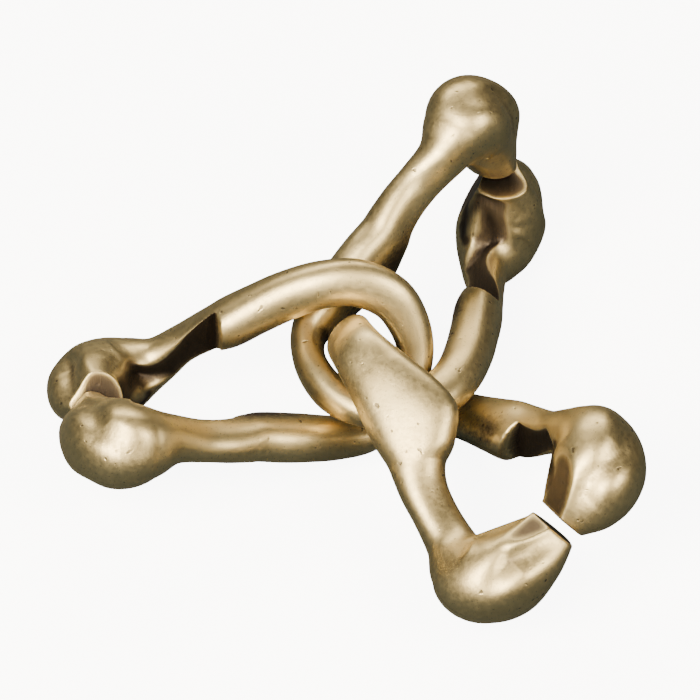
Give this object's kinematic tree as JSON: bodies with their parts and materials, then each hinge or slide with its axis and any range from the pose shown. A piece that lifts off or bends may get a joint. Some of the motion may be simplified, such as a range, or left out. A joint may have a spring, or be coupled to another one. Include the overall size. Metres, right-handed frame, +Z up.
{
  "type": "metal ring disentanglement puzzle",
  "caption": "Mechanical puzzle of interlocked cast metal links, each a twisted open ring with ball ends facing across a narrow gap.",
  "frame": {"origin": "on the table, under the middle of the resting puzzle", "axes": "+Z up from the table, +Y away from a viewer who sees one link's heads to the left, -Y towards that viewer"},
  "size_m": [0.0864, 0.0868, 0.0371],
  "materials": {
    "left_link": "aged satin, dark in the recesses",
    "back_link": "aged satin, dark in the recesses",
    "right_link": "aged satin, dark in the recesses"
  },
  "bodies": {
    "left_link": {"left_link": "left_link"},
    "back_link": {"back_link": "back_link"},
    "right_link": {"right_link": "right_link"}
  },
  "joints": [
    {"name": "back_link_swing", "type": "hinge", "parent": "left_link", "child": "back_link", "pos_m": [0.002, 0.008, 0.012], "axis": [0, 0, 1], "range_deg": [-6, 10]},
    {"name": "right_link_swing", "type": "hinge", "parent": "left_link", "child": "right_link", "pos_m": [0.008, 0.008, 0.012], "axis": [0, 0, 1], "range_deg": [-7, 11]}
  ]
}
